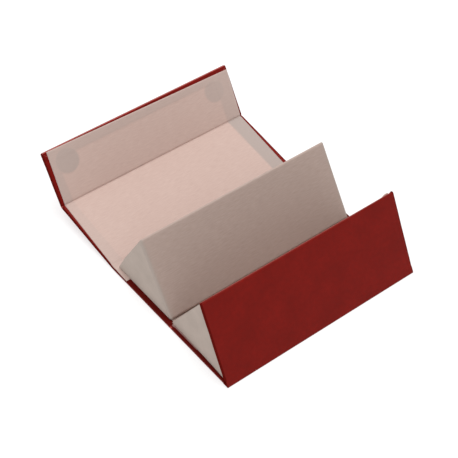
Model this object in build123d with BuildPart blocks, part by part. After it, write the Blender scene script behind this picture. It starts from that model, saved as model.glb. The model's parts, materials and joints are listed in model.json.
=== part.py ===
from build123d import *
import os
from math import cos, radians, sin, tan

os.makedirs("parts", exist_ok=True)

# A folding eyeglasses case for two pairs, lying open on its back.
# X runs along the creases, Y from the front panel towards the flap, Z up from the surface it lies on.
# Five boards sit in one leatherette skin, like a book cover. A divider stands on the base, and four
# fabric gussets close the sides of the two pockets. Lengths are in millimetres, angles in degrees.

# Driving dimensions
WIDTH = 165.0            # along the creases
COVER_T = 0.5            # leatherette
BOARD_T = 1.8            # greyboard
LINING_T = 0.4           # suede lining
TURN_IN = 15.0           # leatherette folded over a board's side edges
TOP_TURN_IN = 9.0        # and over its free edge
EDGE_ROUND = 0.9         # radius of the leatherette where it wraps a board's edge
CORNER_ROUND = 1.2       # radius of a panel's free corners

FRONT_LEN = 63.4         # front panel, from the front crease to its free edge
FRONT_RISE = 62.6        # its lean from the base
BASE_FRONT_LEN = 62.3    # floor of the front pocket
BASE_REAR_LEN = 67.6     # floor of the rear pocket
LID_LEN = 64.6
LID_RISE = 8.3
FLAP_LEN = 42.8
FLAP_RISE = 58.5

FRONT_GAP = 5.6          # from each crease's line to the boards beside it
BASE_GAP = 2.3
LID_GAP = 3.3
FLAP_GAP = 2.3
FRONT_CREASE_ROUND = 0.9
LID_CREASE_ROUND = 20.0
FLAP_CREASE_ROUND = 4.5

LINING_W = 162.0         # lining of the lid, the flap and the front panel
FLOOR_W = 157.0          # lining of the pocket floors, between the gussets
TAB_W = 161.2            # the divider's tab on the front pocket's floor
TAB_START = 35.8         # where that tab ends, measured from the front crease
LINING_EDGE = 1.2        # skin left bare along a free edge
TAIL_START = 50.7        # the lid lining's tail on the rear floor, from the base crease

DIVIDER_W = 158.0
DIVIDER_LEN = 59.4       # along its rear face
DIVIDER_RISE = 56.5
DIVIDER_BOARD_T = 1.6
DIVIDER_BOARD_START = 0.6  # its board and its facings start this far up from the foot
FACING_START = 0.1
DIVIDER_TOP_ROUND = 0.35
DIVIDER_FOOT = 5.1       # from the base crease to the foot of the divider's rear face
DIVIDER_FOOT_UP = 3.3    # height of that foot
DIVIDER_FOOT_FRONT = 2.2  # from the base crease to the foot of its front face

GUSSET_X = 78.8          # inner face of each gusset
GUSSET_T = 0.5
GUSSET_CLEAR = 0.15      # between a gusset and the faces beside it
GUSSET_DROP = 1.0        # from the free edge of the face behind it down to its tip
GUSSET_SHIFT = 0.3       # along the floor, from the foot of the divider's faces
GUSSET_END = 0.2         # from the rear gusset's rear corner to the lid crease's strip

MAGNET_R = 8.0
MAGNET_T = 1.5
MAGNET_CHAMFER = 0.2
MAGNET_X = 66.0
FLAP_MAGNET = 30.0       # from the flap crease
FRONT_MAGNET = 38.9      # from the front crease, where the flap's magnets come when the case is closed
MAGNET_FIT = 0.1         # radial room round each magnet
BOARD_FIT = 0.1          # room between a board's edges and the skin round them
CREASE_CLEAR = 0.1       # half of the slit between two gusset leaves

# Layers of a panel, as heights from its outer face
TURN_H = COVER_T + BOARD_T
WRAP_H = TURN_H + COVER_T
PANEL_T = WRAP_H + LINING_T

# Line of each crease on the outer face, as (Y, Z), with the whole depth centred on the origin
FRONT_INSET = FRONT_CREASE_ROUND / tan(radians(180 - FRONT_RISE) / 2)
DEPTH = (BASE_FRONT_LEN + BASE_REAR_LEN
         + LID_LEN * cos(radians(LID_RISE)) + FLAP_LEN * cos(radians(FLAP_RISE)))
FRONT_CREASE = (-(DEPTH + FRONT_INSET) / 2, 0)
BASE_CREASE = (FRONT_CREASE[0] + BASE_FRONT_LEN, 0)
LID_CREASE = (BASE_CREASE[0] + BASE_REAR_LEN, 0)
FLAP_CREASE = (LID_CREASE[0] + LID_LEN * cos(radians(LID_RISE)), LID_LEN * sin(radians(LID_RISE)))


def panel_plane(crease, rise, inner_side=1):
    """Plane of a panel: local X along the crease, Y up the panel, Z from its outer to its inner face."""
    lean = radians(rise)
    inward = (0, -inner_side * sin(lean), inner_side * cos(lean))
    return Plane(origin=(0, *crease), x_dir=(inner_side, 0, 0), z_dir=inward)


def profile_point(plane, along, height):
    """A point of a panel's profile, as (Y, Z)."""
    point = plane.from_local_coords((0, along, height))
    return (point.Y, point.Z)


FRONT = panel_plane(FRONT_CREASE, FRONT_RISE, -1)
BASE_FRONT = panel_plane(FRONT_CREASE, 0)
BASE_REAR = panel_plane(BASE_CREASE, 0)
LID = panel_plane(LID_CREASE, LID_RISE)
FLAP = panel_plane(FLAP_CREASE, FLAP_RISE)
DIVIDER = panel_plane((BASE_CREASE[0] + DIVIDER_FOOT, DIVIDER_FOOT_UP), DIVIDER_RISE)


def save(builder, name):
    """Label a finished piece and write it."""
    builder.part.label = name
    export_step(builder.part, f"parts/{name}.step")


def strip_sketch(width, start, end):
    """A rectangle across a panel, from one distance up it to another."""
    with Locations((0, (start + end) / 2)):
        Rectangle(width, end - start)


def make_cover(name, plane, start, end, free_edge):
    """Leatherette round one board: its outer face, wrapped edges and turn-ins on the inner face."""
    up = Axis(plane.origin, plane.y_dir)
    with BuildPart() as cover:
        with BuildSketch(plane) as outline:
            strip_sketch(WIDTH, start, end)
            if free_edge:
                fillet(outline.vertices().sort_by(Axis.Y)[-2:], CORNER_ROUND)
        extrude(amount=WRAP_H)
        rounded = cover.edges().filter_by(up)
        if free_edge:
            rounded += cover.edges().filter_by(Axis.X).sort_by(up)[-2:]
        fillet(rounded, EDGE_ROUND)
        board_end = end - COVER_T if free_edge else end
        with BuildSketch(plane.offset(COVER_T)):
            strip_sketch(WIDTH - 2 * COVER_T, start, board_end)
        extrude(amount=BOARD_T, mode=Mode.SUBTRACT)
        window_end = end - TOP_TURN_IN if free_edge else end
        with BuildSketch(plane.offset(TURN_H)):
            strip_sketch(WIDTH - 2 * TURN_IN, start, window_end)
        extrude(amount=COVER_T, mode=Mode.SUBTRACT)
    save(cover, name)


def make_board(name, plane, start, end, free_edge, magnet_at=None, magnet_height=0.0):
    """Greyboard stiffener, with round recesses where it holds magnets."""
    board_end = end - COVER_T - BOARD_FIT if free_edge else end - BOARD_FIT
    with BuildPart() as board:
        with BuildSketch(plane.offset(COVER_T)):
            strip_sketch(WIDTH - 2 * (COVER_T + BOARD_FIT), start + BOARD_FIT, board_end)
        extrude(amount=BOARD_T)
        if magnet_at is not None:
            with BuildSketch(plane.offset(magnet_height)):
                with Locations((-MAGNET_X, magnet_at), (MAGNET_X, magnet_at)):
                    Circle(MAGNET_R + MAGNET_FIT)
            extrude(amount=MAGNET_T, mode=Mode.SUBTRACT)
    save(board, name)


def make_magnet(name, plane, x, along, height):
    """Disc magnet with a small chamfer."""
    with BuildPart() as magnet:
        with BuildSketch(plane.offset(height)):
            with Locations((x, along)):
                Circle(MAGNET_R)
        extrude(amount=MAGNET_T)
        chamfer(magnet.edges(), MAGNET_CHAMFER)
    save(magnet, name)


def make_lining(name, plane, width, start, end, pad_end):
    """Suede sheet glued over the turn-ins, with the padding that fills the window between them."""
    with BuildPart() as lining:
        with BuildSketch(plane.offset(WRAP_H)):
            strip_sketch(width, start, end)
        extrude(amount=LINING_T)
        with BuildSketch(plane.offset(TURN_H)):
            strip_sketch(WIDTH - 2 * (TURN_IN + BOARD_FIT), start, pad_end)
        extrude(amount=COVER_T)
    save(lining, name)


def make_floor_strip(name, plane, width, start, end):
    """Flat strip of lining glued on a pocket floor."""
    with BuildPart() as strip:
        with BuildSketch(plane.offset(WRAP_H)):
            strip_sketch(width, start, end)
        extrude(amount=LINING_T)
    save(strip, name)


def make_crease(name, first, crease_at, side, second, turn, gap, layer, width, outer_round):
    """Bent strip that joins two panels along their crease.

    It starts a gap away from the crease on the first panel, where the crease is at the distance
    crease_at and side says which way that panel lies from it, and ends a gap up the second panel.
    """
    low, high = layer
    inset = side * tan(radians(turn) / 2)
    outer_bend = profile_point(first, crease_at + low * inset, low)
    inner_bend = profile_point(first, crease_at + high * inset, high)
    with BuildPart() as crease:
        with BuildSketch(Plane.YZ) as profile:
            with BuildLine():
                Polyline(
                    profile_point(first, crease_at + side * gap, low),
                    outer_bend,
                    profile_point(second, gap, low),
                    profile_point(second, gap, high),
                    inner_bend,
                    profile_point(first, crease_at + side * gap, high),
                    close=True,
                )
            make_face()
            fillet(profile.vertices().sort_by_distance(outer_bend)[0], outer_round - low)
            fillet(profile.vertices().sort_by_distance(inner_bend)[0], outer_round - high)
        extrude(amount=width / 2, both=True)
    save(crease, name)


# Boards and leatherette of the five panels
PANELS = [
    # name, plane, start, end, is its far edge free
    ("front_panel", FRONT, FRONT_GAP, FRONT_LEN, True),
    ("base_front", BASE_FRONT, FRONT_GAP, BASE_FRONT_LEN - BASE_GAP, False),
    ("base_rear", BASE_REAR, BASE_GAP, BASE_REAR_LEN - LID_GAP, False),
    ("lid", LID, LID_GAP, LID_LEN - FLAP_GAP, False),
    ("flap", FLAP, FLAP_GAP, FLAP_LEN, True),
]
# Height of each magnet's recess: under the skin in the front panel, under the lining in the flap
MAGNETS = {
    "front_panel": (FRONT_MAGNET, COVER_T),
    "flap": (FLAP_MAGNET, TURN_H - MAGNET_T),
}
for name, plane, start, end, free_edge in PANELS:
    make_cover(f"{name}_cover", plane, start, end, free_edge)
    make_board(f"{name}_board", plane, start, end, free_edge, *MAGNETS.get(name, ()))
    if name in MAGNETS:
        along, height = MAGNETS[name]
        # seen from inside the case, a plane's own X may run to the left
        for side, x in (("left", -MAGNET_X), ("right", MAGNET_X)):
            make_magnet(f"{name}_magnet_{side}", plane, x * plane.x_dir.X, along, height)

# Lining of each panel
make_lining("front_panel_lining", FRONT, LINING_W, FRONT_GAP, FRONT_LEN - LINING_EDGE,
            FRONT_LEN - TOP_TURN_IN - BOARD_FIT)
make_lining("base_front_lining", BASE_FRONT, FLOOR_W, FRONT_GAP, TAB_START - BOARD_FIT,
            BASE_FRONT_LEN - BASE_GAP)
make_lining("base_rear_lining", BASE_REAR, FLOOR_W, BASE_GAP + DIVIDER_FOOT, TAIL_START - BOARD_FIT,
            BASE_REAR_LEN - LID_GAP)
make_lining("lid_lining", LID, LINING_W, LID_GAP, LID_LEN - FLAP_GAP, LID_LEN - FLAP_GAP)
make_lining("flap_lining", FLAP, LINING_W, FLAP_GAP, FLAP_LEN - LINING_EDGE,
            FLAP_LEN - TOP_TURN_IN - BOARD_FIT)

# Strips of lining on the pocket floors: the divider's hinge tab and the lid lining's tail
make_floor_strip("divider_hinge_tab", BASE_FRONT, TAB_W, TAB_START, BASE_FRONT_LEN - BASE_GAP)
make_floor_strip("lid_lining_tail", BASE_REAR, LINING_W, TAIL_START, BASE_REAR_LEN - LID_GAP)

# Hinge strips along the creases: the leatherette is one skin, and the lining is one from lid to flap
SKIN = (0, COVER_T)
SUEDE = (WRAP_H, PANEL_T)
FLAP_TURN = FLAP_RISE - LID_RISE
make_crease("front_crease_cover", FRONT, 0, 1, BASE_FRONT, 180 - FRONT_RISE, FRONT_GAP, SKIN, WIDTH,
            FRONT_CREASE_ROUND)
for layer, width, kind in ((SKIN, WIDTH, "cover"), (SUEDE, LINING_W, "lining")):
    make_crease(f"lid_crease_{kind}", BASE_REAR, BASE_REAR_LEN, -1, LID, LID_RISE, LID_GAP, layer,
                width, LID_CREASE_ROUND)
    make_crease(f"flap_crease_{kind}", LID, LID_LEN, -1, FLAP, FLAP_TURN, FLAP_GAP, layer, width,
                FLAP_CREASE_ROUND)
with BuildPart() as base_crease:
    with BuildSketch(BASE_FRONT):
        strip_sketch(WIDTH, BASE_FRONT_LEN - BASE_GAP, BASE_FRONT_LEN + BASE_GAP)
    extrude(amount=COVER_T)
save(base_crease, "base_crease_cover")
make_floor_strip("divider_crease_lining", BASE_REAR, TAB_W, -BASE_GAP, DIVIDER_FOOT_FRONT)

# The divider: a board between two faces of lining, the front one folded over its top edge
DIVIDER_T = DIVIDER_BOARD_T + 2 * LINING_T
FOLD_START = DIVIDER_LEN - LINING_T
with BuildPart() as divider_board:
    with BuildSketch(DIVIDER.offset(LINING_T)):
        strip_sketch(DIVIDER_W - 2 * LINING_T, DIVIDER_BOARD_START, FOLD_START)
    extrude(amount=DIVIDER_BOARD_T)
save(divider_board, "divider_board")

with BuildPart() as divider_rear:
    with BuildSketch(DIVIDER):
        strip_sketch(DIVIDER_W, FACING_START, FOLD_START)
    extrude(amount=LINING_T)
save(divider_rear, "divider_rear_facing")

with BuildPart() as divider_front:
    with BuildSketch(DIVIDER.offset(DIVIDER_T - LINING_T)):
        strip_sketch(DIVIDER_W, FACING_START, DIVIDER_LEN)
    extrude(amount=LINING_T)
    with BuildSketch(DIVIDER):
        strip_sketch(DIVIDER_W, FOLD_START, DIVIDER_LEN)
    extrude(amount=DIVIDER_T)
    long_edges = divider_front.edges().filter_by(Axis.X)
    fillet(long_edges.group_by(Axis(DIVIDER.origin, DIVIDER.y_dir))[-1], DIVIDER_TOP_ROUND)
save(divider_front, "divider_front_facing")


def make_gusset(name, apex, foot, tip):
    """Both sides' gussets of one pocket, each as two triangular leaves that meet along a crease."""
    apex, foot, tip = (Vector(*corner) for corner in (apex, foot, tip))
    along = (tip - foot).normalized()
    middle = (foot + tip) * 0.5
    leaves = {
        "lower": (apex, foot, middle - along * CREASE_CLEAR),
        "upper": (apex, middle + along * CREASE_CLEAR, tip),
    }
    for side, x in (("left", -GUSSET_X - GUSSET_T), ("right", GUSSET_X)):
        for half, corners in leaves.items():
            with BuildPart() as leaf:
                with BuildSketch(Plane.YZ.offset(x)):
                    with BuildLine():
                        Polyline(*[(corner.X, corner.Y) for corner in corners], close=True)
                    make_face()
                extrude(amount=GUSSET_T)
            save(leaf, f"{name}_gusset_{side}_{half}")


# Each gusset stands just clear of the lining below it and beside it
FACE_H = PANEL_T + GUSSET_CLEAR
make_gusset(
    "front",
    profile_point(BASE_FRONT, FACE_H / tan(radians(FRONT_RISE) / 2), FACE_H),
    profile_point(BASE_REAR, DIVIDER_FOOT_FRONT - GUSSET_SHIFT, FACE_H),
    profile_point(FRONT, FRONT_LEN - GUSSET_DROP, FACE_H),
)
make_gusset(
    "rear",
    profile_point(BASE_REAR, DIVIDER_FOOT + GUSSET_SHIFT, FACE_H),
    profile_point(BASE_REAR, BASE_REAR_LEN - LID_GAP - GUSSET_END, FACE_H),
    profile_point(DIVIDER, DIVIDER_LEN - GUSSET_DROP, -GUSSET_CLEAR),
)
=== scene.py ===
import json
from bisect import bisect_left
from math import atan2, ceil, cos, degrees, pi, radians, sin, sqrt, tan

import bmesh
import bpy
from mathutils import Matrix, Vector, noise


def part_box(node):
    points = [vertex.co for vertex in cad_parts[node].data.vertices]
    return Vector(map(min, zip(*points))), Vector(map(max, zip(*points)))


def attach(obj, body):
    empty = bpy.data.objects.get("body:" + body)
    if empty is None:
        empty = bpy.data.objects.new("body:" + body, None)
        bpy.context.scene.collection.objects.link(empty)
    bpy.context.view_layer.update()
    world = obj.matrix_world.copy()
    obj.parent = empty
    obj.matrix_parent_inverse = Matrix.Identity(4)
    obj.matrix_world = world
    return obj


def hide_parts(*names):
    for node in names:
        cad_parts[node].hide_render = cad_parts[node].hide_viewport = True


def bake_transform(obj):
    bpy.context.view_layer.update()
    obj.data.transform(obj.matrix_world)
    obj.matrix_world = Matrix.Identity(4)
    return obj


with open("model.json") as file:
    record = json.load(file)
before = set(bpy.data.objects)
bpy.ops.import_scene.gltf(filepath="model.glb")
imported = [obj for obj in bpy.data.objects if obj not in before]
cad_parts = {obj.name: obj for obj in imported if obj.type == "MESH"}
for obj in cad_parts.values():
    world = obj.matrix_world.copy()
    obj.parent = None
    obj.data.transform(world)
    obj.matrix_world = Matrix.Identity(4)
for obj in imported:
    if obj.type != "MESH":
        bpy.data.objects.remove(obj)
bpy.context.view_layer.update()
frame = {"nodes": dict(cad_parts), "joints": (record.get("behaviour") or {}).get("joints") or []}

# Looks of a folding eyeglasses case. Everything is in metres, in the CAD's frame: X runs along the
# creases, Y from the front panel towards the flap, Z up from the surface that the open case lies on.

MM = 0.001

# ---------------------------------------------------------------- places, worked out from the frame

JOINTS = {joint["name"]: joint for joint in frame["joints"]}


def node_size(node, axis):
    low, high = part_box(node)
    return high[axis] - low[axis]


HALF_W = node_size("base_front_cover", 0) / 2
BOARD_T = node_size("base_front_board", 2)
WRAP_H = node_size("base_front_cover", 2)        # skin, board and turned-in skin
LINING_T = node_size("divider_hinge_tab", 2)
PANEL_T = WRAP_H + LINING_T
SKIN_T = node_size("base_crease_cover", 2)
LINING_HALF_W = node_size("lid_lining", 0) / 2
FLOOR_HALF_W = node_size("base_front_lining", 0) / 2
TAB_HALF_W = node_size("divider_hinge_tab", 0) / 2
GUSSET_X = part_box("front_gusset_right_lower")[0].x
GUSSET_T = node_size("front_gusset_right_lower", 0)
LEAN_ROUNDS = 12         # of correction, each from the last round's angle


def lean_of(board, thickness=BOARD_T):
    """Angle of a flat board from its box, knowing how thick it is."""
    depth, height = node_size(board, 1), node_size(board, 2)
    lean = atan2(height, depth)
    for _ in range(LEAN_ROUNDS):
        lean = atan2(height - thickness * cos(lean), depth - thickness * sin(lean))
    return lean


DIVIDER_BOARD_T = 1.6 * MM
DIVIDER_T = DIVIDER_BOARD_T + 2 * LINING_T
FRONT_LEAN = lean_of("front_panel_board")
LID_LEAN = lean_of("lid_board")
FLAP_LEAN = lean_of("flap_board")
DIVIDER_LEAN = lean_of("divider_board", DIVIDER_BOARD_T)


def pivot(joint):
    """A joint's line, as (Y, Z)."""
    _, y, z = JOINTS[joint]["pos_m"]
    return Vector((y, z))


HALF_SKIN = SKIN_T / 2
FRONT_CREASE = pivot("front_panel_fold") - Vector((PANEL_T / tan(FRONT_LEAN / 2), PANEL_T))
BASE_CREASE = Vector((pivot("base_fold").x, 0))
LID_CREASE = Vector((pivot("lid_hinge").x, 0))
FLAP_BISECTOR = (LID_LEAN + FLAP_LEAN) / 2
FLAP_CREASE = pivot("flap_hinge") - HALF_SKIN * Vector((-sin(FLAP_BISECTOR), cos(FLAP_BISECTOR)))


class Panel:
    """A panel's own frame: along runs up its outer face from its crease, height inwards from that face."""

    def __init__(self, crease, lean, inner_side=1):
        self.crease = Vector((0, *crease))
        self.up = Vector((0, cos(lean), sin(lean)))
        self.inward = Vector((0, -sin(lean), cos(lean))) * inner_side

    def point(self, x, along, height):
        return self.crease + Vector((x, 0, 0)) + self.up * along + self.inward * height

    def span(self, node):
        """Where a CAD node starts and ends along this panel."""
        reach = [(v.co - self.crease).dot(self.up) for v in frame["nodes"][node].data.vertices]
        return min(reach), max(reach)


FRONT = Panel(FRONT_CREASE, FRONT_LEAN, -1)
BASE_FRONT = Panel(FRONT_CREASE, 0)
BASE_REAR = Panel(BASE_CREASE, 0)
LID = Panel(LID_CREASE, LID_LEAN)
FLAP = Panel(FLAP_CREASE, FLAP_LEAN)
DIVIDER = Panel(pivot("divider_fold"), DIVIDER_LEAN)

FRONT_LEN = FRONT.span("front_panel_cover")[1]
FLAP_LEN = FLAP.span("flap_cover")[1]
DIVIDER_LEN = DIVIDER.span("divider_front_facing")[1]

# Outer radius of each crease. The base lies flat, so its crease has none
FRONT_ROUND = 0.55 * MM
LID_ROUND = 20 * MM
FLAP_ROUND = 4.5 * MM

# ---------------------------------------------------------------- the line that the skin follows

LINE_STEP = 0.8 * MM     # most between stations on a straight run
ARC_STEP = 5             # degrees, most between stations on an arc
MIN_ARC_PIECES = 4
END_ROOM = 0.1 * MM      # least between a stretch's own end and a station of the line


def smooth(value, low, high):
    """0 below low, 1 above high, and a smooth step between them."""
    share = min(1, max(0, (value - low) / (high - low)))
    return share * share * (3 - 2 * share)


class Station:
    """A place on the skin's outer line: heading is the line's direction there, run its unrolled distance."""

    def __init__(self, place, heading, run):
        self.place = Vector((0, *place))
        self.heading = heading
        self.run = run
        self.inward = Vector((0, -sin(heading), cos(heading)))

    def point(self, x, height):
        return self.place + Vector((x, 0, 0)) + self.inward * height


def rounded_line(corners, radii):
    """Stations along straight runs joined by arcs that turn left, and each corner's own run."""
    count = len(corners)
    headings = [atan2(*reversed(corners[k + 1] - corners[k])) for k in range(count - 1)]
    turns = [0] + [headings[k + 1] - headings[k] for k in range(count - 2)] + [0]
    tangents = [radius * tan(turn / 2) for radius, turn in zip(radii, turns)]
    stations = [Station(corners[0], headings[0], 0)]
    corner_runs = [0]
    for k in range(count - 1):
        ahead = Vector((cos(headings[k]), sin(headings[k])))
        first = corners[k] + ahead * tangents[k]
        length = (corners[k + 1] - corners[k]).length - tangents[k] - tangents[k + 1]
        pieces = ceil(length / LINE_STEP)
        run = stations[-1].run
        for i in range(1, pieces + 1):
            gone = length * i / pieces
            stations.append(Station(first + ahead * gone, headings[k], run + gone))
        run = stations[-1].run
        turn, radius = turns[k + 1], radii[k + 1]
        corner_runs.append(run + radius * turn / 2)
        if turn > 0:
            bend = first + ahead * length
            centre = bend + radius * Vector((-ahead.y, ahead.x))
            pieces = max(MIN_ARC_PIECES, ceil(degrees(turn) / ARC_STEP))
            for i in range(1, pieces + 1):
                angle = headings[k] + turn * i / pieces
                spoke = radius * Vector((sin(angle), -cos(angle)))
                stations.append(Station(centre + spoke, angle, run + radius * turn * i / pieces))
    return stations, corner_runs


FRONT_TOP = FRONT_CREASE + FRONT_LEN * Vector((cos(FRONT_LEAN), sin(FRONT_LEAN)))
FLAP_TOP = FLAP_CREASE + FLAP_LEN * Vector((cos(FLAP_LEAN), sin(FLAP_LEAN)))
LINE, CORNER_RUNS = rounded_line(
    [FRONT_TOP, FRONT_CREASE, BASE_CREASE, LID_CREASE, FLAP_CREASE, FLAP_TOP],
    [0, FRONT_ROUND, 0, LID_ROUND, FLAP_ROUND, 0],
)
FRONT_RUN, BASE_RUN, LID_RUN, FLAP_RUN, END_RUN = CORNER_RUNS[1:]
RUNS = [station.run for station in LINE]

FRONT_SLACK = 0.3 * MM   # the rounding takes this off the bare stretch at the front crease

# Each crease's run, the bare stretch from it to the boards beside it, over what length of that
# stretch the skin climbs to a board, and the skin's height in the crease
CREASES = [
    (FRONT_RUN, FRONT.span("front_panel_board")[0] - FRONT_SLACK, 0.8 * MM, 0.5 * MM),
    (BASE_RUN, BASE_REAR.span("base_rear_board")[0], 1.6 * MM, 1.8 * MM),
    (LID_RUN, LID.span("lid_board")[0], 1.6 * MM, 2.5 * MM),
    (FLAP_RUN, FLAP.span("flap_board")[0], 1.6 * MM, 2.35 * MM),
]


def wrap_height(run):
    """Height of the skin's inner side over its outer side."""
    return min(
        height + (WRAP_H - height) * smooth(abs(run - crease), bare - climb, bare)
        for crease, bare, climb, height in CREASES
    )


def line_at(run):
    """The line at any run, between its stations."""
    after = min(max(bisect_left(RUNS, run), 1), len(LINE) - 1)
    before, after = LINE[after - 1], LINE[after]
    share = (run - before.run) / (after.run - before.run)
    heading = before.heading + (after.heading - before.heading) * share
    return Station(before.place.lerp(after.place, share).yz, heading, run)


def stretch(start, end):
    """The stations from one run to another, with one exactly at each end."""
    inner = [station for station in LINE if start + END_ROOM < station.run < end - END_ROOM]
    return [line_at(start), *inner, line_at(end)]


# ---------------------------------------------------------------- mesh code

CUT_EDGE = 0.45          # share of a sheet's thickness at its cut edges
MERGE = 0.001 * MM       # points nearer than this become one


def wobble(x, run, size, seed):
    """Smooth noise between about -1 and 1, with features of a given size."""
    return noise.noise(Vector((x / size, run / size, seed)))


def finish_mesh(name, vertices, faces, uvs, material, sharp=(), tints=None):
    """A smooth-shaded object from points, faces, one UV per point, and edges to keep sharp."""
    mesh = bpy.data.meshes.new(name)
    mesh.from_pydata([tuple(v) for v in vertices], [], faces)
    layer = mesh.uv_layers.new(name="UVMap")
    for loop in mesh.loops:
        layer.data[loop.index].uv = uvs[loop.vertex_index]
    if tints:
        for key, values in tints.items():
            attribute = mesh.attributes.new(key, "FLOAT", "POINT")
            attribute.data.foreach_set("value", values)
    mesh.polygons.foreach_set("use_smooth", [True] * len(mesh.polygons))
    sharp = {frozenset(edge) for edge in sharp}
    if sharp:
        attribute = mesh.attributes.new("sharp_edge", "BOOLEAN", "EDGE")
        for edge in mesh.edges:
            attribute.data[edge.index].value = frozenset(edge.vertices) in sharp
    mesh.materials.append(material)
    mesh.validate()
    piece = bpy.data.objects.new(name, mesh)
    bpy.context.scene.collection.objects.link(piece)
    return piece


def mend_mesh(piece):
    """Merges points that fall together, as at a triangle's tip, and turns every face outwards."""
    tidy = bmesh.new()
    tidy.from_mesh(piece.data)
    bmesh.ops.remove_doubles(tidy, verts=tidy.verts, dist=MERGE)
    bmesh.ops.recalc_face_normals(tidy, faces=tidy.faces)
    tidy.to_mesh(piece.data)
    tidy.free()


def loft(name, rings, ring_uvs, material, tints):
    """A closed skin over rings of points that all have the same count, capped flat at its ends."""
    count = len(rings[0])
    vertices = [point for ring in rings for point in ring]
    uvs = [uv for ring in ring_uvs for uv in ring]
    faces = []
    for r in range(len(rings) - 1):
        for i in range(count):
            j = (i + 1) % count
            faces.append((r * count + i, r * count + j, (r + 1) * count + j, (r + 1) * count + i))
    sharp = []
    for end in (0, len(rings) - 1):
        loop = [end * count + i for i in range(count)]
        faces.append(tuple(reversed(loop)) if end == 0 else tuple(loop))
        sharp += [(loop[i - 1], loop[i]) for i in range(count)]
    return finish_mesh(name, vertices, faces, uvs, material, sharp, tints)


def sheet_mesh(name, rows, thickness, material, relief, tint=None, seams=()):
    """A thin closed sheet. Each row is a list of (x, run, point under the sheet, direction up from it).

    Its cut edges are pressed thin, apart from the rows in seams, where the next sheet goes on.
    """
    columns = len(rows[0])
    last_row = len(rows) - 1
    tops, bottoms, uvs, tints = [], [], [], []
    for r, points in enumerate(rows):
        for c, (x, run, point, up) in enumerate(points):
            cut = (r in (0, last_row) and r not in seams) or c in (0, columns - 1)
            height = thickness * (CUT_EDGE if cut else 1) + (0 if cut else relief(x, run))
            tops.append(point + up * height)
            bottoms.append(point)
            uvs.append((x, run))
            tints.append(tint(x, run) if tint else 0)
    count = len(tops)
    faces = []
    for r in range(last_row):
        for c in range(columns - 1):
            a, b = r * columns + c, r * columns + c + 1
            d, e = a + columns, b + columns
            faces.append((a, b, e, d))
            faces.append((count + a, count + d, count + e, count + b))
    rim = list(range(columns))
    rim += [r * columns + columns - 1 for r in range(1, last_row + 1)]
    rim += [last_row * columns + c for c in range(columns - 2, -1, -1)]
    rim += [r * columns for r in range(last_row - 1, 0, -1)]
    sharp = []
    for i, a in enumerate(rim):
        b = rim[(i + 1) % len(rim)]
        faces.append((b, a, count + a, count + b))
        if any(row * columns <= a < (row + 1) * columns and row * columns <= b < (row + 1) * columns
               for row in seams):
            sharp += [(a, b), (count + a, count + b)]
    return finish_mesh(name, tops + bottoms, faces, uvs + uvs, material, sharp,
                       {"tint": tints + tints})


# ---------------------------------------------------------------- materials

NOISE_ROUGHNESS = 0.55


def node(tree, kind, inputs=(), **settings):
    """A shader node with its settings made and its inputs set or linked."""
    made = tree.nodes.new(kind)
    for key, value in settings.items():
        setattr(made, key, value)
    for key, value in dict(inputs).items():
        if isinstance(value, bpy.types.NodeSocket):
            tree.links.new(value, made.inputs[key])
        else:
            made.inputs[key].default_value = value
    return made


def start_material(name):
    material = bpy.data.materials.new(name)
    material.use_nodes = True
    tree = material.node_tree
    tree.nodes.clear()
    return material, tree


def close_material(tree, **inputs):
    """The shader and the output, with the shader's inputs by name and _ for a space."""
    named = {key.replace("_", " "): value for key, value in inputs.items()}
    shader = node(tree, "ShaderNodeBsdfPrincipled", named)
    node(tree, "ShaderNodeOutputMaterial", {"Surface": shader.outputs["BSDF"]})


def surface_coordinates(tree, scale=(1, 1, 1), source="UV"):
    place = node(tree, "ShaderNodeTexCoord").outputs[source]
    return node(tree, "ShaderNodeMapping", {"Vector": place, "Scale": scale}).outputs["Vector"]


def noise_of(tree, coordinates, scale, detail):
    inputs = {"Vector": coordinates, "Scale": scale, "Detail": detail, "Roughness": NOISE_ROUGHNESS}
    return node(tree, "ShaderNodeTexNoise", inputs).outputs["Fac"]


def ramp(tree, factor, *stops):
    """Colours or greys along a factor, as (place, colour)."""
    made = node(tree, "ShaderNodeValToRGB", {"Fac": factor})
    elements = made.color_ramp.elements
    for element, (place, color) in zip(elements, (stops[0], stops[-1])):
        element.position = place
        element.color = color
    for place, color in stops[1:-1]:
        elements.new(place).color = color
    return made.outputs["Color"]


def mix(tree, factor, first, second):
    """The first colour where the factor is 0, the second where it is 1."""
    made = node(tree, "ShaderNodeMix", {0: factor, 6: first, 7: second}, data_type="RGBA")
    return made.outputs[2]


def spread(tree, value, low, high, to_low, to_high):
    """A value between low and high, mapped to between to_low and to_high."""
    inputs = {"Value": value, "From Min": low, "From Max": high, "To Min": to_low, "To Max": to_high}
    return node(tree, "ShaderNodeMapRange", inputs).outputs["Result"]


def bump(tree, *layers):
    """Bumps one over another, each as (height, strength, distance)."""
    normal = None
    for height, strength, distance in layers:
        inputs = {"Height": height, "Strength": strength, "Distance": distance}
        if normal is not None:
            inputs["Normal"] = normal
        normal = node(tree, "ShaderNodeBump", inputs).outputs["Normal"]
    return normal


def rgba(red, green, blue):
    """A colour in linear light, from its 0 to 255 screen values."""
    linear = [(c / 255 / 12.92) if c / 255 <= 0.04045 else ((c / 255 + 0.055) / 1.055) ** 2.4
              for c in (red, green, blue)]
    return (*linear, 1)


# How much painted shade, in the dark colour of shaded sides, goes on the skin
SIDE_SHADE = 0.7         # down its sides
TOP_SHADE = 0.2          # along its free ends
BASE_SHADE = 0.85        # on its inner side beside the pockets


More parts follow.
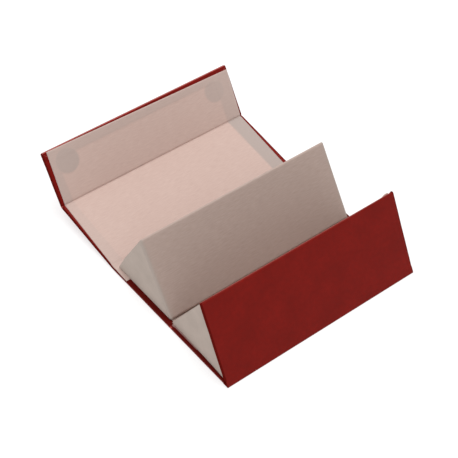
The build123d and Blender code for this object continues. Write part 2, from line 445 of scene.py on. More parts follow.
def leatherette():
    """Red satin leatherette: pebbled grain, painted shade down its sides and beside the pockets, a painted
    highlight along free edges, and paler cracks where the skin folds.
    """
    material, tree = start_material("red_leatherette")
    place = surface_coordinates(tree)
    cloud = noise_of(tree, place, 45, 4)
    fine = noise_of(tree, place, 900, 3)
    base = ramp(tree, cloud, (0.3, (0.166, 0.0036, 0.0020, 1)), (0.7, (0.212, 0.0050, 0.0030, 1)))
    flecks = spread(tree, noise_of(tree, place, 330, 4), 0.35, 0.68, 0.0, 0.34)
    mottled = mix(tree, flecks, base, (0.118, 0.0030, 0.0022, 1))
    # Painted shade: the sides, and the turned-in skin beside the pockets, mixed toward the dark colour of
    # shaded sides
    side = node(tree, "ShaderNodeAttribute", attribute_name="side").outputs["Fac"]
    sided = mix(tree, side, mottled, rgba(84, 22, 18))
    # Painted highlight along the free ends' inner ridges and the corner folds' ridges, broken up by noise,
    # with real pale cracks at the base and flap creases
    highlight_and_wear = node(tree, "ShaderNodeAttribute", attribute_name="highlight_and_wear").outputs["Fac"]
    patchiness = spread(tree, noise_of(tree, place, 220, 4), 0.35, 0.75, 0.5, 1.0)
    amount = node(tree, "ShaderNodeMath", {0: highlight_and_wear, 1: patchiness}, operation="MULTIPLY").outputs["Value"]
    color = mix(tree, amount, sided, rgba(206, 112, 104))
    grain = node(tree, "ShaderNodeTexVoronoi", {"Vector": place, "Scale": 1500.0}, feature="F1")
    roughness = spread(tree, fine, 0.3, 0.7, 0.40, 0.52)
    normal = bump(
        tree,
        (grain.outputs["Distance"], 0.22, 0.00008),
        (noise_of(tree, place, 120, 2), 0.12, 0.0006),
    )
    close_material(tree, Base_Color=color, Roughness=roughness, Normal=normal,
                   Specular_IOR_Level=spread(tree, side, 0.0, SIDE_SHADE, 0.12, 0.0),
                   Specular_Tint=(1.0, 0.8, 0.66, 1))
    return material


def suede(name, shade, pale, tint_color):
    """Short-napped lining: fine streaks along the creases, soft sheen and a little mottling."""
    material, tree = start_material(name)
    place = surface_coordinates(tree)
    streaks = noise_of(tree, surface_coordinates(tree, (170, 1500, 1)), 1.0, 4)
    clouds = noise_of(tree, place, 38, 4)
    nap = noise_of(tree, place, 2600, 2)
    base = ramp(tree, streaks, (0.28, shade), (0.72, pale))
    mottled = mix(tree, spread(tree, clouds, 0.35, 0.7, 0.0, 0.22), base, shade)
    speck = mix(tree, spread(tree, nap, 0.3, 0.75, 0.0, 0.18), mottled, shade)
    # The tint attribute mixes in tint_color: the lining's real greying over turned-in skin and magnets, the
    # gusset cloth beside the divider's folds, and painted shade on the tab's bare ends
    tint = node(tree, "ShaderNodeAttribute", attribute_name="tint").outputs["Fac"]
    color = mix(tree, tint, speck, tint_color)
    roughness = spread(tree, nap, 0.3, 0.7, 0.88, 1.0)
    normal = bump(tree, (streaks, 0.10, 0.0002), (nap, 0.25, 0.00006))
    close_material(tree, Base_Color=color, Roughness=roughness, Normal=normal, Specular_IOR_Level=0.2,
                   Sheen_Weight=0.12, Sheen_Roughness=0.5)
    return material


def gusset_cloth():
    """Thin plain-woven fabric: the threads show as a fine square texture."""
    material, tree = start_material("gusset_fabric")
    place = surface_coordinates(tree)
    threads = {"Vector": place, "Scale": 620.0, "Distortion": 1.2, "Detail": 2.0}
    warp = node(tree, "ShaderNodeTexWave", threads, bands_direction="X").outputs["Fac"]
    weft = node(tree, "ShaderNodeTexWave", threads, bands_direction="Y").outputs["Fac"]
    weave = node(tree, "ShaderNodeMath", {0: warp, 1: weft}, operation="MULTIPLY").outputs["Value"]
    clouds = noise_of(tree, place, 60, 4)
    base = ramp(tree, clouds, (0.3, rgba(172, 158, 148)), (0.7, rgba(185, 170, 160)))
    color = mix(tree, spread(tree, weave, 0.1, 0.9, 0.14, 0.0), base, rgba(148, 132, 122))
    roughness = spread(tree, weave, 0.0, 1.0, 0.92, 0.82)
    normal = bump(tree, (weave, 0.12, 0.0001), (clouds, 0.12, 0.0008))
    close_material(tree, Base_Color=color, Roughness=roughness, Normal=normal, Specular_IOR_Level=0.2,
                   Sheen_Weight=0.08, Sheen_Roughness=0.5)
    return material


def greyboard():
    """Pressed paper board with fibres and flecks."""
    material, tree = start_material("greyboard")
    place = surface_coordinates(tree, source="Object")
    fibres = noise_of(tree, surface_coordinates(tree, (500, 90, 300), "Object"), 1.0, 4)
    flecks = noise_of(tree, place, 1100, 2)
    base = ramp(tree, fibres, (0.3, rgba(150, 146, 138)), (0.7, rgba(176, 171, 161)))
    color = mix(tree, spread(tree, flecks, 0.62, 0.7, 0.0, 0.6), base, rgba(96, 90, 84))
    roughness = spread(tree, fibres, 0.3, 0.7, 0.85, 0.95)
    close_material(tree, Base_Color=color, Roughness=roughness,
                   Normal=bump(tree, (fibres, 0.3, 0.0002)))
    return material


def nickel():
    """Nickel-plated magnet, brushed by tumbling."""
    material, tree = start_material("nickel")
    brushed = noise_of(tree, surface_coordinates(tree, (3000, 200, 3000), "Object"), 1.0, 2)
    color = ramp(tree, brushed, (0.3, rgba(196, 196, 200)), (0.7, rgba(214, 214, 218)))
    roughness = spread(tree, brushed, 0.3, 0.7, 0.22, 0.38)
    close_material(tree, Base_Color=color, Roughness=roughness, Metallic=1.0,
                   Normal=bump(tree, (brushed, 0.08, 0.0001)))
    return material


DIVIDER_COLORS = (rgba(171, 151, 141), rgba(185, 165, 156))

RED = leatherette()
LINING = suede("suede_lining", rgba(196, 169, 159), rgba(208, 184, 174), rgba(178, 163, 156))
DIVIDER_LINING = suede("divider_suede", *DIVIDER_COLORS, rgba(172, 158, 149))
# The tab's lining: its tint colour is painted shade on the bare ends
TAB_LINING = suede("tab_suede", *DIVIDER_COLORS, rgba(138, 104, 100))
GUSSET = gusset_cloth()
BOARD = greyboard()
NICKEL = nickel()

for name, cad_node in frame["nodes"].items():
    if name.endswith("_board") or "magnet" in name:
        cad_node.data.materials.clear()
        cad_node.data.materials.append(BOARD if name.endswith("_board") else NICKEL)

# ---------------------------------------------------------------- leatherette skin

EDGE_ROUND = 0.85 * MM
PLAN_ROUND = 1.0 * MM    # of a free corner, seen square to the panel
FACE_COLUMNS = 36
EDGE_POINTS = 7
EAR = 1.2 * MM           # the front panel's right corner stands up into a small ear
EAR_START = HALF_W - 2.2 * MM
SIDE_UNEVEN = 0.10 * MM  # how far the sides wander in and out
CRACK = 0.8              # how cracked the sides are at the base and flap creases


def skin_ring(station, half_width, low, high, run, reach=None):
    """Section of the skin across a panel: its points and UVs, and for each point how much painted shade it
    gets, how near it would be to the inner ridge of a free end, where the painted highlight goes, and how
    cracked the skin is where it folds."""
    round_by = min(EDGE_ROUND, (high - low) * 0.49)
    flat = half_width - round_by
    across = [-flat * cos(pi * i / FACE_COLUMNS) for i in range(FACE_COLUMNS + 1)]
    section = [(x, low, 0) for x in across]
    for i in range(1, EDGE_POINTS):
        angle = pi / 2 * i / (EDGE_POINTS - 1)
        section.append((flat + round_by * sin(angle), low + round_by * (1 - cos(angle)), 1))
    for i in range(EDGE_POINTS - 1):
        angle = pi / 2 * i / (EDGE_POINTS - 1)
        section.append((flat + round_by * cos(angle), high - round_by * (1 - sin(angle)), 1))
    section += [(-x, high, 0) for x in across]
    for i in range(1, EDGE_POINTS):
        angle = pi / 2 * i / (EDGE_POINTS - 1)
        section.append((-flat - round_by * sin(angle), high - round_by * (1 - cos(angle)), 1))
    for i in range(EDGE_POINTS - 1):
        angle = pi / 2 * i / (EDGE_POINTS - 1)
        section.append((-flat - round_by * cos(angle), low + round_by * (1 - sin(angle)), 1))
    on_base = smooth(run, FRONT_RUN, FRONT_RUN + 2 * MM) * smooth(LID_RUN - run, 0, 4 * MM)
    ring, uvs, sides, ridge, cracks = [], [], [], [], []
    around = 0
    for i, (x, height, edge) in enumerate(section):
        if i:
            around += (Vector((x, height)) - Vector(section[i - 1][:2])).length
        side = x + (SIDE_UNEVEN * wobble(x, run, 14 * MM, 3.1) if edge else 0)
        point = station.point(side, height)
        ring.append(point + reach(x) if reach else point)
        uvs.append((around, run))
        # Painted shade down the sides, and over the turned-in skin beside the pockets
        inner = smooth(height, WRAP_H * 0.45, WRAP_H * 0.85)
        sides.append(SIDE_SHADE * edge * (1 - on_base) + BASE_SHADE * inner * on_base)
        # The inner ridge, where free ends get the painted highlight
        ridge.append(smooth(height, WRAP_H * 0.6, WRAP_H * 0.8))
        fold = min(abs(run - BASE_RUN), abs(run - FLAP_RUN))
        cracks.append(edge * CRACK * (1 - smooth(fold, 0.2 * MM, 1.0 * MM)))
    return ring, uvs, sides, ridge, cracks


def make_skin(name, start, end, bodies, blend_from, blend_to, nodes):
    """One piece of the skin between two runs, with rounded free ends; its bodies and blend points are not
    used.
    """
    rings, uvs, sides, highlight_and_cracks = [], [], [], []

    def add(station, half_width, low, high, run, highlight_and_wear=0, reach=None):
        ring, ring_uvs, ring_sides, ridge, cracks = skin_ring(
            station, half_width, low, high, run, reach)
        rings.append(ring)
        uvs.append(ring_uvs)
        # Painted highlight on free ends' ridges with real pale cracks at the folds, then painted shade on
        # the sides and a little along free ends
        highlight_and_cracks.extend([max(highlight_and_wear * on_ridge, crack) for on_ridge, crack in zip(ridge, cracks)])
        sides.extend([max(side, TOP_SHADE * highlight_and_wear) for side in ring_sides])

    def free_end(station, outwards):
        """Rings that close a free end, from its outermost ring to nearly the full section."""
        ahead = Vector((0, cos(station.heading), sin(station.heading))) * outwards
        ear = EAR if outwards < 0 else 0
        for i in range(EDGE_POINTS):
            angle = pi / 2 * i / EDGE_POINTS
            out = EDGE_ROUND * cos(angle)
            inset = EDGE_ROUND * (1 - sin(angle))
            moved = Station((station.place + ahead * out).yz, station.heading, station.run)
            half = HALF_W - PLAN_ROUND * (1 - sin(angle))
            # Share of the painted highlight, and of the painted shade, on this free-end ring
            highlight_and_wear = smooth(cos(angle), 0.45, 0.95)
            yield (moved, half, inset, WRAP_H - inset, station.run + outwards * out, highlight_and_wear,
                   lambda x, share=cos(angle): ahead * ear * share * smooth(x, EAR_START, HALF_W))

    first_free, last_free = start <= 0, end >= END_RUN
    picked = stretch(EDGE_ROUND if first_free else start, END_RUN - EDGE_ROUND if last_free else end)
    if first_free:
        for ring in free_end(picked[0], -1):
            add(*ring)
    for station in picked:
        add(station, HALF_W, 0, wrap_height(station.run), station.run)
    if last_free:
        for ring in reversed(list(free_end(picked[-1], 1))):
            add(*ring)
    piece = loft(name, rings, uvs, RED, tints={"side": sides, "highlight_and_wear": highlight_and_cracks})
    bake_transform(piece)
    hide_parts(*nodes)


def beside(crease_run, reach):
    """Points a given reach before and after a crease."""
    return line_at(crease_run - reach).place, line_at(crease_run + reach).place


# How far to each side of a crease's middle beside() takes its points
CREASE_REACH = {FRONT_RUN: 4.6 * MM, BASE_RUN: 2.3 * MM, LID_RUN: 3.3 * MM, FLAP_RUN: 2.6 * MM}
BASE_FRONT_MIDDLE = (FRONT_RUN + BASE_RUN) / 2
BASE_REAR_MIDDLE = (BASE_RUN + LID_RUN) / 2
LID_MIDDLE = (LID_RUN + FLAP_RUN) / 2
SKINS = [
    ("skin_front", 0, BASE_FRONT_MIDDLE, ("front_panel", "base_front"), FRONT_RUN,
     ["front_panel_cover", "front_crease_cover", "base_front_cover"]),
    ("skin_base", BASE_FRONT_MIDDLE, BASE_REAR_MIDDLE, ("base_front", "base_rear"), BASE_RUN,
     ["base_crease_cover", "base_front_cover", "base_rear_cover"]),
    ("skin_rear", BASE_REAR_MIDDLE, LID_MIDDLE, ("base_rear", "lid"), LID_RUN,
     ["base_rear_cover", "lid_crease_cover", "lid_cover"]),
    ("skin_flap", LID_MIDDLE, END_RUN, ("lid", "flap"), FLAP_RUN,
     ["lid_cover", "flap_crease_cover", "flap_cover"]),
]
for name, start, end, bodies, crease_run, nodes in SKINS:
    make_skin(name, start, end, bodies, *beside(crease_run, CREASE_REACH[crease_run]), nodes)

CORNER_FOLD = 5.2 * MM   # legs of the triangle where the skin overlaps at a free corner
FOLD_T = 0.22 * MM
FOLD_RIDGE = 0.9         # share of that thickness along its slanting edge
FOLD_FLAT = 0.55         # and elsewhere
FOLD_INSET = EDGE_ROUND * 0.8
FOLD_STEPS = 12


def make_corner_fold(name, panel, body, side, top):
    """The skin's mitred overlap at a free corner: a thin triangle whose slanting edge is a ridge."""
    steps = FOLD_STEPS
    vertices, uvs, highlight_and_cracks, faces = [], [], [], []
    for layer in (0, 1):
        for r in range(steps + 1):
            for c in range(steps + 1):
                down, across = CORNER_FOLD * r / steps, CORNER_FOLD * c / steps * r / steps
                ridge = c == steps
                height = WRAP_H + layer * FOLD_T * (FOLD_RIDGE if ridge else FOLD_FLAT)
                x = side * (HALF_W - FOLD_INSET - across)
                vertices.append(panel.point(x, top - FOLD_INSET - down, height))
                uvs.append((x, top - down))
                # Painted highlight along the slanting ridge
                highlight_and_cracks.append(1.0 if c >= steps - 1 else 0.0)
    row = steps + 1
    count = row * row
    for r in range(steps):
        for c in range(steps):
            a, b, d, e = r * row + c, r * row + c + 1, (r + 1) * row + c, (r + 1) * row + c + 1
            faces.append((a, b, e, d))
            faces.append((count + a, count + d, count + e, count + b))
    rim = list(range(steps))
    rim += [r * row + steps for r in range(steps)]
    rim += [steps * row + c for c in range(steps, 0, -1)]
    rim += [r * row for r in range(steps, 0, -1)]
    for i, a in enumerate(rim):
        b = rim[(i + 1) % len(rim)]
        faces.append((b, a, count + a, count + b))
    piece = finish_mesh(name, vertices, faces, uvs, RED, tints={"highlight_and_wear": highlight_and_cracks})
    mend_mesh(piece)
    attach(piece, body)


for side_name, side in (("left", -1), ("right", 1)):
    make_corner_fold(f"flap_corner_fold_{side_name}", FLAP, "flap", side, FLAP_LEN)
    make_corner_fold(f"front_corner_fold_{side_name}", FRONT, "front_panel", side, FRONT_LEN)

# ---------------------------------------------------------------- linings glued on the panels

SHEET_STEP = 0.9 * MM
SINK = 0.14 * MM          # how far a lining dips between the turned-in strips of skin
LEFT_TURN_IN = 9.5 * MM   # the skin's turned-in strips, as they were cut
RIGHT_TURN_IN = 14.0 * MM
TOP_TURN_IN = 8.5 * MM
MAGNET_CENTRES = [(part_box(f"flap_magnet_{side}")[0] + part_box(f"flap_magnet_{side}")[1]) / 2
                  for side in ("left", "right")]
MAGNET_X = abs(MAGNET_CENTRES[0].x)
MAGNET_R = node_size("flap_magnet_left", 0) / 2
MARK_SHIFT = 0.7 * MM     # the magnets' marks on the lining lie this much nearer the flap crease
MARK_RUN = FLAP_RUN + (MAGNET_CENTRES[0] - FLAP.crease).dot(FLAP.up) - MARK_SHIFT
MARK_TILT = radians(-1.0) # and a little further from it on the left than on the right
MARK_HEIGHT = 0.08 * MM
GLUE_RING = {-1: 1.7 * MM, 1: 0.9 * MM}   # how far the marks go beyond the left and right magnet
SKEW = radians(1.77)      # the lid's sheet was glued on turned by this much
SKEW_CENTRE = LID_RUN + 52 * MM
TRIM = 0.6 * MM           # and its sides and top were trimmed
TOP_TRIM_LEFT = 0.2 * MM
TOP_TRIM_RIGHT = 3.4 * MM
STEP_HALF = 0.7 * MM      # half the width of the slope beside a turned-in strip
UNEVEN = 0.05 * MM        # how far a glued lining waves up and down

# How grey the lining is, on the left (-1) and the right (1)
LID_TINT = {-1: 0.25, 1: 1.0}             # over the lid's turned-in skin
FLAP_TINT = 0.42                          # over the flap's, on both sides
MARK_TINT = {-1: 0.72, 1: 0.6}            # over the magnets


def window(x, run):
    """1 where a lining lies on bare board, 0 over the turned-in skin, which was cut by hand."""
    ragged = 0.5 * MM * wobble(x * 0.2, run, 22 * MM, 8.3)
    from_left = x + HALF_W - LEFT_TURN_IN - ragged
    from_right = HALF_W - RIGHT_TURN_IN + ragged - x
    from_top = END_RUN - run - TOP_TURN_IN - ragged
    inside = 1
    for distance in (from_left, from_right, from_top):
        inside *= smooth(distance, -STEP_HALF, STEP_HALF)
    return inside


def side_of(x):
    return 1 if x > 0 else -1


def magnet_mark(x, run):
    """1 on a magnet's mark, 0 beside it."""
    side = side_of(x)
    distance = sqrt((x - side * MAGNET_X) ** 2 + (run - MARK_RUN - tan(MARK_TILT) * x) ** 2)
    reach = MAGNET_R + GLUE_RING[side]
    return 1 - smooth(distance, reach - 1.1 * MM, reach + 0.5 * MM)


def lid_relief(x, run):
    """Height of the lid's and flap's lining: sunk on bare board, raised over the magnets."""
    waves = UNEVEN * wobble(x, run, 24 * MM, 1.7)
    return waves - SINK * window(x, run) + MARK_HEIGHT * magnet_mark(x, run)


def lid_tint(x, run):
    """The lining is greyer over turned-in skin, most on the lid's right, and over the magnets."""
    on_flap = smooth(run, FLAP_RUN - 1 * MM, FLAP_RUN + 1 * MM)
    on_lid = LID_TINT[side_of(x)]
    shade = on_lid + (FLAP_TINT - on_lid) * on_flap
    return max(shade * (1 - window(x, run)), MARK_TINT[side_of(x)] * magnet_mark(x, run))


def plain_relief(x, run):
    return UNEVEN * wobble(x, run, 20 * MM, 5.2)


def bent_sheet(name, start, end, half_width, look, relief, crease_run, nodes,
               tint=None, skew=0.0, seams=(), end_trim=None, notch=None):
    """A sheet glued over a crease on the skin's inner side, row by row along the skin's line."""
    columns = ceil(2 * half_width / SHEET_STEP)
    stations = stretch(start, end)
    rows = []
    for station in stations:
        shift = tan(skew) * (station.run - SKEW_CENTRE)
        points = []
        for c in range(columns + 1):
            half = half_width - (notch(station.run) if notch else 0)
            x = -half + 2 * half * c / columns + shift
            trim = 0 if end_trim is None else end_trim(x, station.run)
            here = line_at(station.run - trim)
            points.append((x, here.run, here.point(x, wrap_height(here.run)), here.inward))
        rows.append(points)
    piece = sheet_mesh(name, rows, LINING_T, look, relief, tint,
                       [row % len(rows) for row in seams])
    bend_from, bend_to = beside(crease_run, CREASE_REACH[crease_run])
    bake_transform(piece)
    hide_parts(*nodes)


def flap_end_trim(x, run):
    """How much further the sheet's top edge was cut back towards the right."""
    share = smooth(run, FLAP_RUN + 5 * MM, END_RUN)
    return share * (TOP_TRIM_RIGHT - TOP_TRIM_LEFT) * (x + HALF_W) / (2 * HALF_W)


TAIL_START = BASE_RUN + BASE_REAR.span("lid_lining_tail")[0]
bent_sheet("lining_lid", TAIL_START, LID_MIDDLE, LINING_HALF_W - TRIM, LINING,
           lid_relief, LID_RUN,
           ["lid_lining_tail", "lid_crease_lining", "lid_lining"], lid_tint, SKEW, seams=[-1])
bent_sheet("lining_flap", LID_MIDDLE, END_RUN - TOP_TRIM_LEFT, LINING_HALF_W - TRIM, LINING,
           lid_relief, FLAP_RUN,
           ["lid_lining", "flap_crease_lining", "flap_lining"], lid_tint, SKEW, seams=[0],
           end_trim=flap_end_trim)


def panel_sheet(name, panel, node_name, half_width, start, end, body, peek=None):
    """A lining on one flat panel; peek says how much further it goes at its far edge."""
    columns = ceil(2 * half_width / SHEET_STEP)
    steps = ceil((end - start) / SHEET_STEP)
    rows = []
    for r in range(steps + 1):
        along = start + (end - start) * r / steps
        points = []
        for c in range(columns + 1):
            x = -half_width + 2 * half_width * c / columns
            here = along + (peek(x) if peek else 0) * r / steps
            points.append((x, here, panel.point(x, here, WRAP_H), panel.inward))
        rows.append(points)
    if panel is FRONT:
        rows.reverse()
    piece = sheet_mesh(name, rows, LINING_T, LINING, plain_relief)
    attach(piece, body)
    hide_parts(node_name)


PEEK = 1.9 * MM
PEEK_LEFT = (71 * MM, 77 * MM)        # where it rises
PEEK_RIGHT = (79.3 * MM, 79.9 * MM)   # and where it falls again
SHEET_GAP = 0.1 * MM                  # between a floor's lining and the sheet next to it


def front_peek(x):
    """The front panel's lining shows over its top edge beside the right corner."""
    return PEEK * smooth(x, *PEEK_LEFT) * smooth(-x, -PEEK_RIGHT[1], -PEEK_RIGHT[0])


panel_sheet("lining_front_panel", FRONT, "front_panel_lining", LINING_HALF_W,
            *FRONT.span("front_panel_lining"), "front_panel", front_peek)
panel_sheet("lining_front_floor", BASE_FRONT, "base_front_lining", FLOOR_HALF_W,
            BASE_FRONT.span("base_front_lining")[0], BASE_FRONT.span("divider_hinge_tab")[0] - SHEET_GAP,
            "base_front")
panel_sheet("lining_rear_floor", BASE_REAR, "base_rear_lining", FLOOR_HALF_W,
            BASE_REAR.span("base_rear_lining")[0], BASE_REAR.span("lid_lining_tail")[0] - SHEET_GAP,
            "base_rear")

# ---------------------------------------------------------------- divider

TAB_START = BASE_RUN - (BASE_CREASE.x - FRONT_CREASE.x) + BASE_FRONT.span("divider_hinge_tab")[0]
TAB_END = BASE_RUN + pivot("divider_fold").x - BASE_CREASE.x + DIVIDER_T / 2
TAB_TUCK = 0.4 * MM       # how far inside the gussets its narrower part ends


def tab_notch(run):
    """The tab is cut narrower beyond the crease, where it goes between the gussets."""
    return (TAB_HALF_W - GUSSET_X + TAB_TUCK) * smooth(run, BASE_RUN + 0.8 * MM, BASE_RUN + 1.8 * MM)


def tab_end_shade(x, run):
    """Painted shade on the tab's ends, which lie bare outside the gussets."""
    return smooth(abs(x), GUSSET_X + 0.6 * MM, GUSSET_X + 1.1 * MM)


bent_sheet("divider_tab", TAB_START, TAB_END, TAB_HALF_W, TAB_LINING,
           plain_relief, BASE_RUN,
           ["divider_hinge_tab", "divider_crease_lining"], tab_end_shade, notch=tab_notch)

SIDE_FOLD = 1.3 * MM      # radius of the soft fold down each side of the divider's front face
SIDE_BAND = 1.9 * MM      # where the gusset's cloth shows through beside that fold
SIDE_X = GUSSET_X + GUSSET_T * 0.96   # its sides, flush with the gussets' cloth
TOP_POINTS = 12
FACE_ROWS = 40
DIVIDER_COLUMNS = 90
FOLD_COLUMNS = 8
PUFF = 0.06 * MM          # how uneven its faces are


def divider_profile(inset):
    """Loop round the divider's section, as (along, height), with its front face set back by inset."""
    high = DIVIDER_T - inset
    round_by = high / 2
    flat = DIVIDER_LEN - inset / 2 - round_by
    loop = [(flat * i / FACE_ROWS, high) for i in range(FACE_ROWS + 1)]
    for i in range(1, TOP_POINTS):
        angle = pi * i / TOP_POINTS
        loop.append((flat + round_by * sin(angle), round_by * (1 + cos(angle))))
    loop += [(flat * (1 - i / FACE_ROWS), 0) for i in range(FACE_ROWS + 1)]
    return loop


def make_divider():
    """Board wrapped in lining: rounded top, a soft fold down each side, faces a little uneven."""
    flat = SIDE_X - SIDE_FOLD
    folds = []
    for i in range(FOLD_COLUMNS):
        angle = pi / 2 * i / FOLD_COLUMNS
        folds.append((SIDE_X - SIDE_FOLD * (1 - cos(angle)), SIDE_FOLD * (1 - sin(angle))))
    places = [(-x, inset) for x, inset in folds]
    places += [(-flat + 2 * flat * i / DIVIDER_COLUMNS, 0) for i in range(DIVIDER_COLUMNS + 1)]
    places += reversed(folds)
    rings, uvs, tints = [], [], []
    for x, inset in places:
        ring, ring_uvs = [], []
        around = 0
        previous = None
        for along, height in divider_profile(inset):
            if previous is not None:
                around += (Vector((along, height)) - previous).length
            previous = Vector((along, height))
            puff = PUFF * wobble(x, along, 26 * MM, 2.4) * smooth(along, 0, 6 * MM)
            puff *= smooth(SIDE_X - abs(x), 0, 4 * MM)
            ring.append(DIVIDER.point(x, along, height + (puff if height > DIVIDER_T / 2 else -puff)))
            ring_uvs.append((x, around))
        rings.append(list(reversed(ring)))
        uvs.append(list(reversed(ring_uvs)))
        tints += [1 - smooth(SIDE_X - abs(x), 0.5 * MM, SIDE_BAND)] * len(ring)
    piece = loft("divider", rings, uvs, DIVIDER_LINING, tints={"tint": tints})
    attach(piece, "divider")
    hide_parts("divider_front_facing", "divider_rear_facing")


make_divider()

# ---------------------------------------------------------------- gussets

GUSSET_ROWS = 26
KINK = {"front": 0.1 * MM, "rear": 1.0 * MM}   # how far a free edge bends outwards
KINK_AT = 0.31                                 # and where on it, from its foot
FRONT_APEX = 3.3 * MM      # from the front crease to the apex of the front pocket's cloth
SPLAY = {"front": 1.6 * MM, "rear": 0}   # how far outwards the cloth goes at its apex
CLEAR = {"front": 0.4 * MM, "rear": 0}   # how much further out the whole cloth is set
CLOTH_MIDDLE = 0.6         # the cloth's middle, in gusset thicknesses from the CAD leaf's inner face
CLOTH_HALF = 0.36          # half the cloth's thickness, in the same measure
BULGE = 0.12 * MM
SAME_CORNER = 0.05 * MM    # a leaf's vertices nearer than this are one corner


def leaf_corners(node_name):
    """A leaf's three corners in its plane, as (Y, Z), from the CAD node's own corners."""
    corners = []
    for vertex in frame["nodes"][node_name].data.vertices:
        place = vertex.co.yz
        if all((place - other).length > SAME_CORNER for other in corners):
            corners.append(place.copy())
    return corners


def make_gusset(pocket, side):
    """Both leaves of one gusset: thin cloth with a slight bulge towards the pocket."""
    lower_name, upper_name = (f"{pocket}_gusset_{side}_{half}" for half in ("lower", "upper"))
    lower, upper = leaf_corners(lower_name), leaf_corners(upper_name)
    apex = min(lower, key=lambda p: min((p - q).length for q in upper))
    rest_lower = [p for p in lower if p is not apex]
    seam_lower = min(rest_lower, key=lambda p: min((p - q).length for q in upper))
    foot = next(p for p in rest_lower if p is not seam_lower)
    apex_upper = min(upper, key=lambda p: (p - apex).length)
    rest_upper = [p for p in upper if p is not apex_upper]
    seam_upper = min(rest_upper, key=lambda p: (p - seam_lower).length)
    tip = next(p for p in rest_upper if p is not seam_upper)
    middle = (seam_lower + seam_upper) / 2
    if pocket == "front":
        apex = FRONT_CREASE + (apex - FRONT_CREASE).normalized() * FRONT_APEX
    outwards = -1 if side == "left" else 1
    base_x = outwards * (GUSSET_X + GUSSET_T * CLOTH_MIDDLE + CLEAR[pocket])
    along_edge = (tip - foot).normalized()
    outside = Vector((along_edge.y, -along_edge.x))
    if (apex - foot).dot(outside) > 0:
        outside = -outside
    for name, near, far in ((lower_name, foot, middle), (upper_name, middle, tip)):
        vertices, uvs = [], []
        for layer in (1, -1):
            for r in range(GUSSET_ROWS + 1):
                out = r / GUSSET_ROWS
                for c in range(GUSSET_ROWS + 1):
                    share = c / GUSSET_ROWS
                    place = apex + (near + (far - near) * share - apex) * out
                    whole = share / 2 if name == lower_name else 0.5 + share / 2
                    kink = KINK[pocket] * min(whole / KINK_AT, (1 - whole) / (1 - KINK_AT))
                    place = place + outside * kink * out * out
                    bulge = out * sin(pi * whole) * BULGE
                    splayed = base_x + outwards * (SPLAY[pocket] * (1 - out) ** 2 - bulge)
                    x = splayed + outwards * layer * GUSSET_T * CLOTH_HALF
                    vertices.append(Vector((x, place.x, place.y)))
                    uvs.append((place.x, place.y))
        row = GUSSET_ROWS + 1
        layer_count = row * row
        faces = []
        for r in range(GUSSET_ROWS):
            for c in range(GUSSET_ROWS):
                a, b = r * row + c, r * row + c + 1
                d, e = a + row, b + row
                faces.append((a, b, e, d))
                faces.append((layer_count + a, layer_count + d, layer_count + e, layer_count + b))
        rim = [r * row for r in range(GUSSET_ROWS)]
        rim += [GUSSET_ROWS * row + c for c in range(GUSSET_ROWS)]
        rim += [r * row + GUSSET_ROWS for r in range(GUSSET_ROWS, 0, -1)]
        sharp = []
        for i, a in enumerate(rim):
            b = rim[(i + 1) % len(rim)]
            faces.append((a, b, layer_count + b, layer_count + a))
            sharp += [(a, b), (layer_count + a, layer_count + b)]
        piece = finish_mesh(f"{name}_cloth", vertices, faces, uvs, GUSSET, sharp)
        mend_mesh(piece)
        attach(piece, name)
        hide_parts(name)


for pocket in ("front", "rear"):
    for side in ("left", "right"):
        make_gusset(pocket, side)

# ---------------------------------------------------------------- floor, light and camera

FLOOR_HALF = 3.0
WORLD_STRENGTH = 0.74


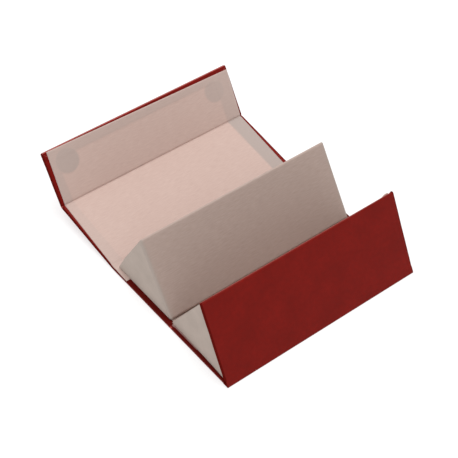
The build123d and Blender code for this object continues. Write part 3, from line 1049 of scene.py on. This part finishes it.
def make_floor():
    mesh = bpy.data.meshes.new("floor")
    half = FLOOR_HALF
    mesh.from_pydata([(-half, -half, 0), (half, -half, 0), (half, half, 0), (-half, half, 0)], [],
                     [(0, 1, 2, 3)])
    material, tree = start_material("floor")
    mottle = noise_of(tree, surface_coordinates(tree, source="Object"), 3, 2)
    color = ramp(tree, mottle, (0.3, (0.40, 0.40, 0.40, 1)), (0.7, (0.41, 0.41, 0.41, 1)))
    close_material(tree, Base_Color=color, Roughness=0.9, Specular_IOR_Level=0.1,
                   Emission_Color=(1, 1, 1, 1), Emission_Strength=0.66)
    mesh.materials.append(material)
    floor = bpy.data.objects.new("floor", mesh)
    bpy.context.scene.collection.objects.link(floor)


def make_area_light(name, place, aim, size, power):
    light = bpy.data.lights.new(name, "AREA")
    light.shape = "SQUARE"
    light.size = size
    light.energy = power
    made = bpy.data.objects.new(name, light)
    made.location = place
    made.rotation_euler = (Vector(aim) - Vector(place)).to_track_quat("-Z", "Y").to_euler()
    bpy.context.scene.collection.objects.link(made)


def make_world(strength):
    world = bpy.data.worlds.new("studio")
    world.use_nodes = True
    background = world.node_tree.nodes["Background"]
    background.inputs["Color"].default_value = (1, 1, 1, 1)
    background.inputs["Strength"].default_value = strength
    bpy.context.scene.world = world


CAMERA_PLACE = Vector((-0.4069, -0.4984, 0.6765))
CAMERA_AZIMUTH = radians(-39.48)
CAMERA_ELEVATION = radians(46.154)
CAMERA_ROLL = radians(1.606)
CAMERA_LENS = 102.64


def make_camera():
    """Camera at the photograph's angle: azimuth 0 looks along +Y, and elevation looks down on the case."""
    back = Vector((
        sin(CAMERA_AZIMUTH) * cos(CAMERA_ELEVATION),
        -cos(CAMERA_AZIMUTH) * cos(CAMERA_ELEVATION),
        sin(CAMERA_ELEVATION),
    ))
    right = (-back).cross(Vector((0, 0, 1))).normalized()
    up = right.cross(-back)
    rolled_right = cos(CAMERA_ROLL) * right + sin(CAMERA_ROLL) * up
    rolled_up = -sin(CAMERA_ROLL) * right + cos(CAMERA_ROLL) * up
    data = bpy.data.cameras.new("camera")
    data.lens = CAMERA_LENS
    camera = bpy.data.objects.new("camera", data)
    turn = Matrix((rolled_right, rolled_up, back)).transposed().to_4x4()
    camera.matrix_world = Matrix.Translation(CAMERA_PLACE) @ turn
    bpy.context.scene.collection.objects.link(camera)
    bpy.context.scene.camera = camera


make_floor()
make_world(WORLD_STRENGTH)
make_area_light("overhead", place=(0.15, 0.25, 1.3), aim=(0, 0, 0), size=1.2, power=11)
make_camera()
bpy.context.scene.view_settings.view_transform = "Standard"
